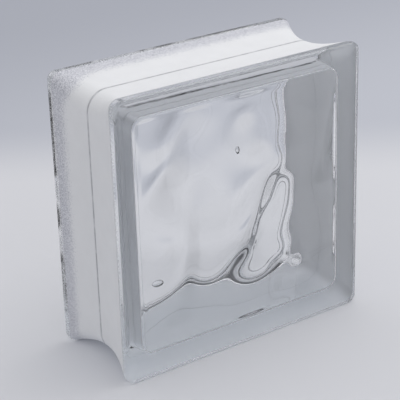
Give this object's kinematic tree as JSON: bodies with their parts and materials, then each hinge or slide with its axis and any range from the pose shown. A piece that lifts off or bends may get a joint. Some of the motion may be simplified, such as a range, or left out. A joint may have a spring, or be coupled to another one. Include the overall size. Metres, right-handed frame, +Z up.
{
  "type": "glass block",
  "caption": "Square hollow glass building block with wavy inner faces, a fused seam and a concave white-coated mortar channel round its edges.",
  "frame": {"origin": "middle of the underside, in the plane of the rim that the block stands on", "axes": "+X along the front face to the right, +Y from the front face to the back face, +Z up"},
  "size_m": [0.19, 0.08, 0.19],
  "materials": {
    "glass": "clear pressed soda-lime glass, fire polished",
    "coating": "matt white sprayed edge coating"
  },
  "bodies": {
    "root": {"front_half": "glass", "back_half": "glass", "edge_coating": "coating"}
  },
  "joints": []
}
